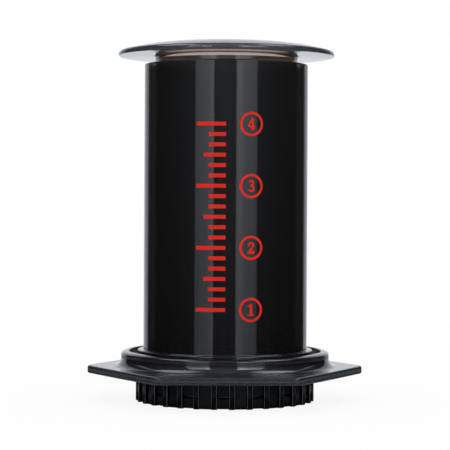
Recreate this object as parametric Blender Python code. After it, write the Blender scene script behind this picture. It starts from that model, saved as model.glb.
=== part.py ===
"""Piston coffee press, pressed down and standing on its filter cap.

Metres, +Z up. The press stands on the plane z = 0 and every round piece shares the Z axis.
Heights below are measured from that plane, and -Y is the printed front of the chamber.
"""

import math

import bmesh
import bpy

# Clearances and making
GAP = 0.0003
OVERRUN = 0.002
SINK = 0.00005
WELD = 0.000001
ROUND_STEPS = 56
SHARP_ANGLE = math.radians(32)

# Chamber tube
CHAMBER_RADIUS = 0.03285
CHAMBER_WALL = 0.00235
CHAMBER_HEIGHT = 0.1307
RIM_ROUNDING = 0.0009
RIM_LEAD_IN = 0.0006
FOOT_CHAMFER = 0.0005

# Mug plate of the chamber, a hexagon with slightly bowed sides
PLATE_CORNER_REACH = 0.0560
PLATE_CORNER_ROUNDING = 0.0050
PLATE_SIDE_BOW = 0.0005
PLATE_THICKNESS = 0.0031
PLATE_TOP_ROUNDING = 0.0010
PLATE_FOOT_ROUNDING = 0.0004
PLATE_SIDES = 6

# Collar over the plate, with the moat between it and the tube
COLLAR_WALL = 0.0021
COLLAR_CREST_WIDTH = 0.0037
COLLAR_DRAFT = 0.0004
COLLAR_FILLET = 0.0030
MOAT_DEPTH = 0.0024
MOAT_FILLET = 0.0008
ROOF_THICKNESS = 0.0019
TUBE_FILLET = 0.0033
MOUTH_STEP = 0.0008
MOUTH_LEDGE = 0.0003

# Bayonet lugs of the chamber and of the cap
LUG_COUNT = 4
LUG_REACH = 0.00435
LUG_CLEARANCE = 0.0004
LUG_LIFT = 0.0005
CHAMBER_LUG_THICKNESS = 0.0017
CAP_LUG_THICKNESS = 0.0020
LUG_RAMP = 0.0006
CHAMBER_LUG_HALF_ANGLE = math.radians(15)
CAP_LUG_HALF_ANGLE = math.radians(12)
LUG_RAMP_ANGLE = math.radians(6)
STOP_ANGLE = math.radians(3)
LUG_TURN = math.radians(30)

# Filter cap
CAP_FIT = 0.00075
CAP_WALL = 0.00125
CAP_FLOOR_THICKNESS = 0.0018
CAP_FLOOR_RECESS = 0.0012
CAP_RIM_CHAMFER = 0.0004
CAP_CORNER_CHAMFER = 0.0005
CAP_RECESS_SLOPE = 0.0006
SKIRT_HEIGHT = 0.0104
FOOT_HEIGHT = 0.00045
FOOT_WIDTH = 0.0016
RIB_COUNT = 32
RIB_HEIGHT = 0.0009
RIB_WIDTH = 0.00234
RIB_CHAMFER = 0.0003
RIB_FOOT_CHAMFER = 0.0005
RIB_TURN = math.radians(-2.65)
SLOT_HEIGHT = 0.0005
SLOT_LEVEL = 0.0044
SLOT_DEPTH = 0.0006
SLOT_END_GAP = 0.00012
HOLE_RADIUS = 0.0015
HOLE_PITCH = 0.0068
HOLE_RINGS = 4
HOLES_IN_FIRST_RING = 6
HOLE_SIDES = 8

# Paper filter
PAPER_FIT = 0.0016
PAPER_THICKNESS = 0.0003

# Plunger
PLUNGER_FIT = 0.0019
PLUNGER_WALL = 0.0022
PRESSED_GAP = 0.0032
FLANGE_RADIUS = 0.0434
FLANGE_EDGE = 0.0021
FLANGE_RISE = 0.0048
FLANGE_FILLET = 0.0008
LIP_ROUNDING = 0.0020
HEAD_STEP = 0.0036
HEAD_HOOK = 0.0030
HEAD_THICKNESS = 0.0060
HEAD_CHAMFER = 0.0006
DOME_SLOPE_SHARE = 0.5

# Plunger seal
SEAL_REST_GAP = 0.0006
SEAL_FLOOR = 0.0043
SEAL_LIP = 0.0041
SEAL_CONE = 0.0007
SEAL_TIP_RADIUS = 0.0080
SEAL_GROOVE = 0.0014
SEAL_EDGE = 0.0005
SEAL_BAND_SHARES = (0.24, 0.33, 0.58, 0.66, 0.86)

# Levels of the stack, from the table up
floor_top = CAP_FLOOR_RECESS + CAP_FLOOR_THICKNESS
paper_level = floor_top + GAP
chamber_foot = paper_level + PAPER_THICKNESS + GAP
chamber_top = chamber_foot + CHAMBER_HEIGHT
plate_level = SKIRT_HEIGHT + GAP
plate_top = plate_level + PLATE_THICKNESS
lug_level = plate_level + LUG_LIFT
cap_lug_level = lug_level + CHAMBER_LUG_THICKNESS + GAP
cap_top = cap_lug_level + CAP_LUG_THICKNESS
cavity_roof = cap_top + LUG_CLEARANCE
moat_floor = cavity_roof + ROOF_THICKNESS
collar_crest = moat_floor + MOAT_DEPTH
seal_level = paper_level + PAPER_THICKNESS + SEAL_REST_GAP
head_level = seal_level + SEAL_FLOOR
head_top = head_level + HEAD_THICKNESS
seal_top = head_top + GAP + SEAL_LIP
shoulder_level = seal_top + GAP
flange_level = chamber_top + PRESSED_GAP
flange_top = flange_level + FLANGE_RISE

# Radii, from the bore out
bore_radius = CHAMBER_RADIUS - CHAMBER_WALL
seal_radius = bore_radius - GAP
plunger_radius = bore_radius - PLUNGER_FIT
plunger_bore = plunger_radius - PLUNGER_WALL
head_radius = plunger_radius - HEAD_STEP
neck_radius = head_radius - HEAD_HOOK
neck_bore = neck_radius - PLUNGER_WALL
cap_bore = CHAMBER_RADIUS + CAP_FIT
shell_radius = cap_bore + CAP_WALL
cap_radius = shell_radius + RIB_HEIGHT
cap_lug_radius = shell_radius + LUG_REACH
paper_radius = cap_bore - PAPER_FIT
cavity_radius = cap_lug_radius + LUG_CLEARANCE
mouth_radius = cavity_radius + MOUTH_STEP
chamber_lug_radius = cap_radius + LUG_CLEARANCE
collar_radius = cavity_radius + COLLAR_WALL


def arc(centre, radius, start, end, steps):
    """Profile points along an arc about centre, with the angles in degrees from +X."""
    points = []
    for i in range(steps + 1):
        angle = math.radians(start + (end - start) * i / steps)
        points.append((centre[0] + radius * math.cos(angle), centre[1] + radius * math.sin(angle)))
    return points


def polar(radius, angle, height):
    """A point at this radius and height, its angle turned from the front towards +X."""
    return (radius * math.sin(angle), -radius * math.cos(angle), height)


def finish(name, bm, origin_level, material=None):
    """Close the mesh up, give it outward faces and its own object, and stand it at its level."""
    bmesh.ops.remove_doubles(bm, verts=bm.verts, dist=WELD)
    bmesh.ops.recalc_face_normals(bm, faces=bm.faces)
    bmesh.ops.translate(bm, verts=bm.verts, vec=(0, 0, -origin_level))
    mesh = bpy.data.meshes.new(name)
    bm.to_mesh(mesh)
    bm.free()
    mesh.shade_smooth()
    mesh.set_sharp_from_angle(angle=SHARP_ANGLE)
    if material:
        mesh.materials.append(material)
    piece = bpy.data.objects.new(name, mesh)
    piece.location.z = origin_level
    bpy.context.collection.objects.link(piece)
    return piece


def turned(name, profile, origin_level, material, closed=True):
    """Spin a profile of (radius, height) points about Z. Flat discs fill the ends of an open one."""
    bm = bmesh.new()
    verts = [bm.verts.new((radius, 0, height)) for radius, height in profile]
    edges = [bm.edges.new(pair) for pair in zip(verts, verts[1:])]
    if closed:
        edges.append(bm.edges.new((verts[-1], verts[0])))
    bmesh.ops.spin(bm, geom=verts + edges, cent=(0, 0, 0), axis=(0, 0, 1),
                   angle=math.tau, steps=ROUND_STEPS)
    bmesh.ops.remove_doubles(bm, verts=bm.verts, dist=WELD)
    bmesh.ops.holes_fill(bm, edges=[edge for edge in bm.edges if edge.is_boundary])
    return finish(name, bm, origin_level, material)


def loft(bm, rings):
    """Skin rings of equal length, bottom ring first, and close the two ends."""
    loops = [[bm.verts.new(point) for point in ring] for ring in rings]
    count = len(loops[0])
    for low, high in zip(loops, loops[1:]):
        for i in range(count):
            j = (i + 1) % count
            bm.faces.new((low[i], low[j], high[j], high[i]))
    bm.faces.new(reversed(loops[0]))
    bm.faces.new(loops[-1])


def sector(bm, inner, outer, start, end, bottom, top, steps, ramp=0, ramp_angle=0):
    """A block along an arc, whose underside climbs by ramp over the last ramp_angle at its start."""
    rings = []
    for i in range(steps + 1):
        angle = start + (end - start) * i / steps
        share = max(0, 1 - (angle - start) / ramp_angle) if ramp_angle else 0
        low = bottom + ramp * share
        rings.append([polar(inner, angle, low), polar(outer, angle, low),
                      polar(outer, angle, top), polar(inner, angle, top)])
    loft(bm, rings)


def guide(name, bm):
    """A hidden shape that a Boolean reads."""
    shape = finish(name, bm, 0)
    shape.hide_render = True
    shape.display_type = 'WIRE'
    return shape


def boolean(piece, shape, operation):
    """Join or cut a piece with a hidden shape that moves with it."""
    modifier = piece.modifiers.new(shape.name, 'BOOLEAN')
    modifier.operation = operation
    modifier.solver = 'EXACT'
    modifier.object = shape
    shape.parent = piece
    shape.matrix_parent_inverse.translation.z = -piece.location.z


def plastic(name, colour, roughness, transmission=0):
    """A material with its base colour, roughness and how much light it lets through."""
    material = bpy.data.materials.new(name)
    material.use_nodes = True
    shader = material.node_tree.nodes['Principled BSDF']
    shader.inputs['Base Color'].default_value = (*colour, 1)
    shader.inputs['Roughness'].default_value = roughness
    shader.inputs['Metallic'].default_value = 0
    shader.inputs['Transmission Weight'].default_value = transmission
    return material


# The chamber: tube, moat, collar and the wall around the cap's cavity, as one turned profile
def chamber_profile():
    crest_round = COLLAR_CREST_WIDTH / 2
    crest_centre = (collar_radius - crest_round, collar_crest - crest_round)
    moat_outer = collar_radius - COLLAR_CREST_WIDTH
    moat_round = min(MOAT_FILLET, crest_centre[1] - moat_floor)
    tube_round = min(TUBE_FILLET, moat_outer - moat_round - CHAMBER_RADIUS)
    collar_foot = collar_radius + COLLAR_DRAFT
    foot_round = min(COLLAR_FILLET, crest_centre[1] - plate_top)
    foot_centre = (collar_foot + foot_round, plate_top + foot_round)
    ledge = plate_level + MOUTH_LEDGE
    tube_centre = (CHAMBER_RADIUS + tube_round, moat_floor + tube_round)
    moat_centre = (moat_outer - moat_round, moat_floor + moat_round)
    return [
        (bore_radius, chamber_top - RIM_LEAD_IN),
        (bore_radius + RIM_LEAD_IN, chamber_top),
        *arc((CHAMBER_RADIUS - RIM_ROUNDING, chamber_top - RIM_ROUNDING), RIM_ROUNDING, 90, 0, 2),
        *arc(tube_centre, tube_round, 180, 270, 4),
        *arc(moat_centre, moat_round, -90, 0, 1),
        *arc(crest_centre, crest_round, 180, 0, 6),
        *arc(foot_centre, foot_round + SINK, 180, 270, 4),
        (foot_centre[0], ledge),
        (cavity_radius, ledge),
        (cavity_radius, cavity_roof),
        (CHAMBER_RADIUS, cavity_roof),
        (CHAMBER_RADIUS, chamber_foot + FOOT_CHAMFER),
        (CHAMBER_RADIUS - FOOT_CHAMFER, chamber_foot),
        (bore_radius + FOOT_CHAMFER, chamber_foot),
        (bore_radius, chamber_foot + FOOT_CHAMFER),
    ]


def plate_outline():
    """The plate's plan: six rounded corners, with sides that bow out between them."""
    inset = PLATE_CORNER_ROUNDING / math.cos(math.pi / PLATE_SIDES)
    half_turn = 180 / PLATE_SIDES
    points = []
    for corner in range(PLATE_SIDES):
        turn = 2 * half_turn * corner
        reach = PLATE_CORNER_REACH - inset
        centre = (reach * math.cos(math.radians(turn)), reach * math.sin(math.radians(turn)))
        points += arc(centre, PLATE_CORNER_ROUNDING, turn - half_turn, turn + half_turn, 5)
        bow_way = math.radians(turn + half_turn)
        side_start = points[-1]
        side = 2 * reach * math.sin(math.radians(half_turn))
        for share in (0.25, 0.5, 0.75):
            bow = PLATE_SIDE_BOW * 4 * share * (1 - share)
            points.append((
                side_start[0] - side * share * math.sin(bow_way) + bow * math.cos(bow_way),
                side_start[1] + side * share * math.cos(bow_way) + bow * math.sin(bow_way),
            ))
    return points


def mug_plate():
    """The hexagonal plate with its round mouth, rounded along the top and bottom edges."""
    bm = bmesh.new()
    outline = [bm.verts.new((x, y, plate_level)) for x, y in plate_outline()]
    mouth = [bm.verts.new(polar(mouth_radius, math.tau * i / ROUND_STEPS, plate_level))
             for i in range(ROUND_STEPS)]
    edges = []
    for loop in (outline, mouth):
        edges += [bm.edges.new((loop[i - 1], loop[i])) for i in range(len(loop))]
    bmesh.ops.triangle_fill(bm, edges=edges, use_beauty=True)
    made = bmesh.ops.extrude_face_region(bm, geom=bm.faces[:])
    lifted = [item for item in made['geom'] if isinstance(item, bmesh.types.BMVert)]
    bmesh.ops.translate(bm, verts=lifted, vec=(0, 0, PLATE_THICKNESS))
    bmesh.ops.recalc_face_normals(bm, faces=bm.faces)
    middle = plate_level + PLATE_THICKNESS / 2
    edge_reach = (mouth_radius + PLATE_CORNER_REACH * math.cos(math.pi / PLATE_SIDES)) / 2
    for above, rounding, segments in ((True, PLATE_TOP_ROUNDING, 3), (False, PLATE_FOOT_ROUNDING, 2)):
        rounded = []
        for edge in bm.edges:
            ends = [vert.co for vert in edge.verts]
            flat = abs(ends[0].z - ends[1].z) < WELD
            outer = min(end.xy.length for end in ends) > edge_reach
            turns = len(edge.link_faces) == 2 and edge.calc_face_angle() > SHARP_ANGLE
            if flat and outer and turns and (ends[0].z > middle) == above:
                rounded.append(edge)
        bmesh.ops.bevel(bm, geom=rounded, offset=rounding, segments=segments, profile=0.5,
                        affect='EDGES')
    return guide('mug_plate', bm)


def chamber_lugs():
    """Lugs that carry the cap, one for each of its own, reaching inwards from the collar."""
    bm = bmesh.new()
    wall = cavity_radius + COLLAR_WALL / 2
    for i in range(LUG_COUNT):
        middle = math.tau * i / LUG_COUNT
        sector(bm, chamber_lug_radius, wall, middle - CHAMBER_LUG_HALF_ANGLE,
               middle + CHAMBER_LUG_HALF_ANGLE, lug_level, lug_level + CHAMBER_LUG_THICKNESS, 4)
    return guide('chamber_lugs', bm)


def lug_stops():
    """An end stop above each lug, where the cap's lug comes to rest when it is locked."""
    bm = bmesh.new()
    wall = cavity_radius + COLLAR_WALL / 2
    clear = GAP / chamber_lug_radius
    for i in range(LUG_COUNT):
        start = math.tau * i / LUG_COUNT + CAP_LUG_HALF_ANGLE + clear
        sector(bm, chamber_lug_radius, wall, start, start + STOP_ANGLE,
               lug_level + CHAMBER_LUG_THICKNESS / 2, cavity_roof + ROOF_THICKNESS / 2, 1)
    return guide('lug_stops', bm)


def make_chamber(material):
    chamber = turned('chamber', chamber_profile(), plate_level, material)
    boolean(chamber, mug_plate(), 'UNION')
    boolean(chamber, chamber_lugs(), 'UNION')
    boolean(chamber, lug_stops(), 'UNION')
    return chamber


# The filter cap: a turned cup with ribs, feet, slots, drain holes and bayonet lugs
def cap_profile():
    recess_radius = shell_radius - CAP_CORNER_CHAMFER - FOOT_WIDTH
    return [
        (cap_bore - CAP_RIM_CHAMFER, floor_top),
        (cap_bore, floor_top + CAP_RIM_CHAMFER),
        (cap_bore, cap_top - CAP_RIM_CHAMFER),
        (cap_bore + CAP_RIM_CHAMFER, cap_top),
        (shell_radius, cap_top),
        (shell_radius, FOOT_HEIGHT + CAP_CORNER_CHAMFER),
        (shell_radius - CAP_CORNER_CHAMFER, FOOT_HEIGHT),
        (recess_radius, FOOT_HEIGHT),
        (recess_radius - CAP_RECESS_SLOPE, CAP_FLOOR_RECESS),
    ]


def rib_ring(middle, radius, height):
    """One level of a rib: it grows out of the shell and its two outer corners are cut."""
    half = RIB_WIDTH / 2 / cap_radius
    corner = half - RIB_CHAMFER / cap_radius
    root = shell_radius - CAP_WALL / 2
    return [
        polar(root, middle - half, height),
        polar(root, middle + half, height),
        polar(radius - RIB_CHAMFER, middle + half, height),
        polar(radius, middle + corner, height),
        polar(radius, middle - corner, height),
        polar(radius - RIB_CHAMFER, middle - half, height),
    ]


def cap_ribs():
    """Grip ribs around the skirt, which run from the table up to the plate."""
    bm = bmesh.new()
    pitch = math.tau / RIB_COUNT
    for i in range(RIB_COUNT):
        middle = RIB_TURN + pitch * (i + 0.5)
        loft(bm, [rib_ring(middle, cap_radius - RIB_FOOT_CHAMFER, 0),
                  rib_ring(middle, cap_radius, RIB_FOOT_CHAMFER),
                  rib_ring(middle, cap_radius, SKIRT_HEIGHT)])
    return guide('cap_ribs', bm)


def cap_feet():
    """Feet that close every second groove at the table and leave the others open to drain."""
    bm = bmesh.new()
    pitch = math.tau / RIB_COUNT
    half = RIB_WIDTH / 4 / cap_radius
    outer = shell_radius - CAP_CORNER_CHAMFER
    inner = outer - FOOT_WIDTH / 2
    for i in range(RIB_COUNT // 2):
        first_rib = RIB_TURN + pitch * (2 * i + 0.5)
        sector(bm, inner, outer, first_rib - half, first_rib + pitch + half, 0,
               FOOT_HEIGHT + CAP_CORNER_CHAMFER, 2)
    return guide('cap_feet', bm)


def cap_slots():
    """A thin slot across the floor of each open groove."""
    bm = bmesh.new()
    pitch = math.tau / RIB_COUNT
    half = pitch / 2 - (RIB_WIDTH / 2 + SLOT_END_GAP) / cap_radius
    for i in range(RIB_COUNT // 2):
        middle = RIB_TURN + pitch * 2 * i
        sector(bm, shell_radius - SLOT_DEPTH, shell_radius + RIB_HEIGHT / 2, middle - half,
               middle + half, SLOT_LEVEL - SLOT_HEIGHT / 2, SLOT_LEVEL + SLOT_HEIGHT / 2, 1)
    return guide('cap_slots', bm)


def drain_holes():
    """Holes in rings about a middle one, each ring with as many more as the first one has."""
    bm = bmesh.new()
    centres = [(0, 0)]
    for ring in range(1, HOLE_RINGS + 1):
        count = HOLES_IN_FIRST_RING * ring
        for i in range(count):
            angle = math.tau * i / count
            centres.append((HOLE_PITCH * ring * math.cos(angle), HOLE_PITCH * ring * math.sin(angle)))
    for centre in centres:
        rim = arc(centre, HOLE_RADIUS, 0, 360, HOLE_SIDES)[:-1]
        loft(bm, [[(x, y, height) for x, y in rim]
                  for height in (CAP_FLOOR_RECESS - OVERRUN, floor_top + OVERRUN)])
    return guide('drain_holes', bm)


def cap_lugs():
    """Lugs near the top of the cap, with a ramp that finds the chamber's lug when it is turned."""
    bm = bmesh.new()
    root = shell_radius - CAP_WALL / 2
    for i in range(LUG_COUNT):
        middle = math.tau * i / LUG_COUNT
        sector(bm, root, cap_lug_radius, middle + CAP_LUG_HALF_ANGLE, middle - CAP_LUG_HALF_ANGLE,
               cap_lug_level, cap_top - SINK, 4, LUG_RAMP, -LUG_RAMP_ANGLE)
    return guide('cap_lugs', bm)


def make_filter_cap(material):
    cap = turned('filter_cap', cap_profile(), 0, material, closed=False)
    boolean(cap, drain_holes(), 'DIFFERENCE')
    boolean(cap, cap_ribs(), 'UNION')
    boolean(cap, cap_feet(), 'UNION')
    boolean(cap, cap_lugs(), 'UNION')
    boolean(cap, cap_slots(), 'DIFFERENCE')
    return cap


# The paper filter: a flat disc that the chamber's foot holds down on the cap's floor
def make_paper_filter(material):
    paper_top = paper_level + PAPER_THICKNESS
    profile = [(paper_radius, paper_top), (paper_radius, paper_level)]
    return turned('paper_filter', profile, paper_level, material, closed=False)


# The plunger: a tube with a domed hand flange on top and a hooked head for the seal
def dome_points(inner, outer, top, drop, steps):
    """The flange's crown, nearly level beside the tube and steeper towards its edge."""
    points = []
    for i in range(steps + 1):
        share = i / steps
        fall = DOME_SLOPE_SHARE * share + (1 - DOME_SLOPE_SHARE) * share * share
        points.append((inner + (outer - inner) * share, top - drop * fall))
    return points


def plunger_profile():
    nose = FLANGE_EDGE / 2
    nose_centre = (FLANGE_RADIUS - nose, flange_level + nose)
    crown_inner = plunger_bore + LIP_ROUNDING
    lip_centre = (crown_inner, flange_top - LIP_ROUNDING)
    fillet_centre = (plunger_radius + FLANGE_FILLET, flange_level - FLANGE_FILLET)
    crown = dome_points(crown_inner, nose_centre[0], flange_top, FLANGE_RISE - FLANGE_EDGE, 5)
    return [
        (neck_bore, head_level + PLUNGER_WALL),
        (neck_bore, shoulder_level + PLUNGER_WALL),
        (plunger_bore, shoulder_level + PLUNGER_WALL),
        *arc(lip_centre, LIP_ROUNDING, 180, 90, 3)[:-1],
        *crown[:-1],
        *arc(nose_centre, nose, 90, -90, 6),
        *arc(fillet_centre, FLANGE_FILLET, 90, 180, 2),
        (plunger_radius, shoulder_level),
        (neck_radius, shoulder_level),
        (neck_radius, head_top),
        (head_radius - HEAD_CHAMFER, head_top),
        (head_radius, head_top - HEAD_CHAMFER),
        (head_radius, head_level + HEAD_CHAMFER),
        (head_radius - HEAD_CHAMFER, head_level),
    ]


def make_plunger(material):
    return turned('plunger', plunger_profile(), flange_level, material, closed=False)


# The seal: a rubber cup hooked over the head, with two sealing bands and a shallow cone below
def seal_profile():
    height = seal_top - seal_level
    waist = seal_radius - SEAL_GROOVE
    low, low_end, high, high_end, shoulder = (seal_level + share * height for share in SEAL_BAND_SHARES)
    pocket_floor = head_level - GAP
    pocket_radius = head_radius + GAP
    return [
        (pocket_radius, pocket_floor),
        (pocket_radius, head_top + GAP),
        (neck_radius + GAP, head_top + GAP),
        (neck_radius + GAP, seal_top),
        (waist - SEAL_EDGE, seal_top),
        (waist, seal_top - SEAL_EDGE),
        (seal_radius, shoulder),
        (seal_radius, high_end),
        (waist, high),
        (waist, low_end),
        (seal_radius, low),
        (seal_radius, seal_level + SEAL_CONE + SEAL_EDGE),
        (seal_radius - SEAL_EDGE, seal_level + SEAL_CONE),
        (SEAL_TIP_RADIUS, seal_level),
    ]


def make_seal(material):
    return turned('plunger_seal', seal_profile(), seal_level, material, closed=False)


def carry(child, parent):
    """Let a piece move with the one that carries it, where it already stands."""
    child.parent = parent
    child.matrix_parent_inverse.translation.z = -parent.location.z


for leftover in list(bpy.data.objects):
    bpy.data.objects.remove(leftover, do_unlink=True)

smoke_copolyester = plastic('smoke_copolyester', (0.035, 0.034, 0.038), 0.04, 0.85)
smoke_plunger_copolyester = plastic('smoke_plunger_copolyester', (0.035, 0.034, 0.038), 0.04, 0.85)
black_polypropylene = plastic('black_polypropylene', (0.008, 0.008, 0.009), 0.38)
black_rubber = plastic('black_rubber', (0.010, 0.010, 0.010), 0.62)
filter_paper = plastic('filter_paper', (0.82, 0.80, 0.76), 0.95)

chamber = make_chamber(smoke_copolyester)
filter_cap = make_filter_cap(black_polypropylene)
paper_filter = make_paper_filter(filter_paper)
plunger = make_plunger(smoke_plunger_copolyester)
plunger_seal = make_seal(black_rubber)
carry(filter_cap, chamber)
carry(paper_filter, filter_cap)
carry(plunger, chamber)
carry(plunger_seal, plunger)
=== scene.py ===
"""Looks of the piston coffee press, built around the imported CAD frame.

Metres, +Z up, -Y towards the printed front. Sizes are given in millimetres and turned with MM.
"""

import math

import bmesh
import bpy
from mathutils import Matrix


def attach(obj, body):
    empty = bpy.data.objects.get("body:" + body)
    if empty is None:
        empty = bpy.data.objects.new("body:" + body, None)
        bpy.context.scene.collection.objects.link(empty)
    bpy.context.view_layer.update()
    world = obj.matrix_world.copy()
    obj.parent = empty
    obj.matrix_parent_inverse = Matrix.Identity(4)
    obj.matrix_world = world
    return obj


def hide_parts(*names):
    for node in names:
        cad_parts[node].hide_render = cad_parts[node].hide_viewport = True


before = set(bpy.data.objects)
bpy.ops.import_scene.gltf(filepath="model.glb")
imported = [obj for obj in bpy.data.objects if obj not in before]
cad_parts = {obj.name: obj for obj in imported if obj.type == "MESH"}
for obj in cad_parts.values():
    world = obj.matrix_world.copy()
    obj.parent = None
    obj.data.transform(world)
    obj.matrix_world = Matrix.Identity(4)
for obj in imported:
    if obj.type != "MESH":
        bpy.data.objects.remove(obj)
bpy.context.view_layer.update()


# Chamber: one injection moulding of see-through smoke-grey copolyester. The tube stands on a raised ring
# in a shallow moat behind a round-shouldered collar, which grows through a fillet out of the hexagonal
# mug plate. Four lugs inside the collar carry the filter cap.
MM = 0.001
WELD = MM / 1000
TURN_STEPS = 240
HOLD = 0.25
CHAMBER_R = 32.85
BORE_R = 30.5
CHAMBER_TOP = 134.6
CHAMBER_FOOT = 3.9
RIM_OUTER = 0.5
RIM_INNER = 0.4
TUBE_FOOT_EDGE = 0.5
PLATE_LOW = 10.7
PLATE_HIGH = 13.8
PLATE_REACH = 56.0
PLATE_CORNER = 5.0
PLATE_BOW = 0.5
PLATE_TOP_EDGE = 0.8
PLATE_FOOT_EDGE = 0.75
CAVITY_R = 39.6
CAVITY_ROOF = 15.6
CAVITY_CORNER = 0.4
MOUTH_R = 40.4
MOUTH_RISE = 0.3
MOUTH_RIM = 0.4
COLLAR_R = 41.7
CREST_R = 38.9
COLLAR_CREST = 19.9
CREST_FALL = 1.2
CREST_INNER = 0.4
COLLAR_STEPS = 15
FOOT_ROUND = 3.5
MOAT_LEVEL = 17.5
MOAT_CORNER = 0.5
RING_R = 35.05
RING_TOP = 20.4
RING_ROUND = 0.5
RING_CORNER = 0.15
LUGS = 4
LUG_R = 36.15
LUG_ROOT = 1
LUG_LOW = 11.2
LUG_HIGH = 12.9
LUG_START = -105
LUG_SWEEP = 30
STOP_LOW = 12.0
STOP_START = -77.5
STOP_SWEEP = 3
SMOOTH_BELOW = math.radians(35)


def bend(centre, radius, start, end, steps):
    """Profile points along an arc, its angles in degrees from +X."""
    angles = [math.radians(start + (end - start) * i / steps) for i in range(steps + 1)]
    return [(centre[0] + radius * math.cos(a), centre[1] + radius * math.sin(a)) for a in angles]


def corner(x, z, radius, start, end, steps):
    """Profile points that round off a square corner by a quarter turn."""
    first, last = math.radians(start), math.radians(end)
    centre = (x - radius * (math.cos(first) + math.cos(last)),
              z - radius * (math.sin(first) + math.sin(last)))
    return bend(centre, radius, start, end, steps)


def begin(name, adder, **size):
    """Add a primitive as the only thing selected, name it, keep its place in its mesh and edit it."""
    if bpy.context.mode != 'OBJECT':
        bpy.ops.object.mode_set(mode='OBJECT')
    bpy.ops.object.select_all(action='DESELECT')
    adder(**size)
    piece = bpy.context.object
    piece.name = name
    piece.data.name = name
    bpy.ops.object.transform_apply(location=True, rotation=True, scale=True)
    bpy.ops.object.mode_set(mode='EDIT')
    bpy.ops.mesh.select_mode(type='VERT')
    bpy.ops.mesh.select_all(action='SELECT')
    return piece


def choose(piece, kind, test):
    """Select the points, edges or faces of the edited piece that pass a test of their place."""
    bpy.ops.mesh.select_mode(type=kind)
    bpy.ops.mesh.select_all(action='DESELECT')
    mesh = bmesh.from_edit_mesh(piece.data)
    items = {'VERT': mesh.verts, 'EDGE': mesh.edges, 'FACE': mesh.faces}[kind]
    for item in items:
        if test(item):
            item.select_set(True)
    mesh.select_flush_mode()
    bmesh.update_edit_mesh(piece.data)


def close_up(piece):
    """Merge what coincides, turn every face outwards and leave edit mode with smooth shading."""
    bpy.ops.mesh.select_all(action='SELECT')
    bpy.ops.mesh.remove_doubles(threshold=WELD)
    bpy.ops.mesh.normals_make_consistent(inside=False)
    bpy.ops.object.mode_set(mode='OBJECT')
    bpy.ops.object.shade_smooth_by_angle(angle=SMOOTH_BELOW)


def drawn(name, points):
    """Draw a line in the XZ plane by extruding a plane's middle from point to point."""
    piece = begin(name, bpy.ops.mesh.primitive_plane_add, size=MM)
    bpy.ops.mesh.merge(type='CENTER')
    x, z = points[0]
    bpy.ops.transform.translate(value=(x * MM, 0, z * MM))
    for new_x, new_z in points[1:]:
        shift = ((new_x - x) * MM, 0, (new_z - z) * MM)
        bpy.ops.mesh.extrude_region_move(TRANSFORM_OT_translate={'value': shift})
        x, z = new_x, new_z
    bpy.ops.mesh.select_all(action='SELECT')
    return piece


def turned(name, profile, steps=TURN_STEPS):
    """Draw a profile and spin it round the Z axis. Long straight stretches get a point near each end,
    so that smooth shading leaves them straight."""
    held = profile[:1]
    for (x, z), (new_x, new_z) in zip(profile, profile[1:]):
        length = math.dist((x, z), (new_x, new_z))
        if length > 5 * HOLD:
            near, far = HOLD / length, 1 - HOLD / length
            held += [(x + (new_x - x) * part, z + (new_z - z) * part) for part in (near, far)]
        held.append((new_x, new_z))
    piece = drawn(name, held)
    bpy.ops.mesh.spin(steps=steps, angle=math.tau, center=(0, 0, 0), axis=(0, 0, 1))
    return piece


def around(count):
    """Copy the edited mesh round the Z axis until there are count of it."""
    bpy.ops.mesh.select_all(action='SELECT')
    for copy in range(count - 1):
        bpy.ops.mesh.duplicate()
        bpy.ops.transform.rotate(value=math.tau / count, orient_axis='Z', center_override=(0, 0, 0))


def turn_about_z(piece, degrees):
    """Turn the edited mesh about the Z axis, anticlockwise from above."""
    angle = math.radians(degrees)
    mesh = bmesh.from_edit_mesh(piece.data)
    for vert in mesh.verts:
        x, y = vert.co.x, vert.co.y
        vert.co.x = x * math.cos(angle) - y * math.sin(angle)
        vert.co.y = x * math.sin(angle) + y * math.cos(angle)
    bmesh.update_edit_mesh(piece.data)


def sector(name, inner, outer, low, high, start, sweep, steps):
    """A block along an arc: an upright face at its far end, which spin takes back to its start."""
    piece = begin(name, bpy.ops.mesh.primitive_plane_add, size=MM, rotation=(math.pi / 2, 0, 0))
    bpy.ops.transform.resize(value=(outer - inner, 1, high - low))
    bpy.ops.transform.translate(value=((inner + outer) / 2 * MM, 0, (low + high) / 2 * MM))
    turn_about_z(piece, start + sweep)
    bpy.ops.mesh.select_all(action='SELECT')
    bpy.ops.mesh.spin(steps=steps, angle=math.radians(sweep), center=(0, 0, 0), axis=(0, 0, 1))
    bpy.ops.mesh.select_all(action='SELECT')
    bpy.ops.mesh.normals_make_consistent(inside=False)
    return piece


def combine(piece, tool, operation):
    """Join or cut a piece with a tool shape, which is then thrown away."""
    if bpy.context.mode != 'OBJECT':
        bpy.ops.object.mode_set(mode='OBJECT')
    bpy.ops.object.select_all(action='DESELECT')
    piece.select_set(True)
    bpy.context.view_layer.objects.active = piece
    step = piece.modifiers.new(tool.name, 'BOOLEAN')
    step.operation = operation
    step.solver = 'EXACT'
    step.object = tool
    bpy.ops.object.modifier_apply(modifier=step.name)
    bpy.data.objects.remove(tool, do_unlink=True)


def linear(code, alpha=1):
    """An sRGB hex colour as linear values for a shader socket."""
    values = [int(code[i:i + 2], 16) / 255 for i in (1, 3, 5)]
    return [v / 12.92 if v <= 0.04045 else ((v + 0.055) / 1.055) ** 2.4 for v in values] + [alpha]


def add(tree, kind, sockets=None, links=None, **settings):
    """Add a node to a tree with its settings, its socket values and links into its sockets."""
    made = tree.nodes.new(kind)
    for name, value in settings.items():
        setattr(made, name, value)
    for name, value in (sockets or {}).items():
        made.inputs[name].default_value = value
    for name, source in (links or {}).items():
        tree.links.new(source, made.inputs[name])
    return made


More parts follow.
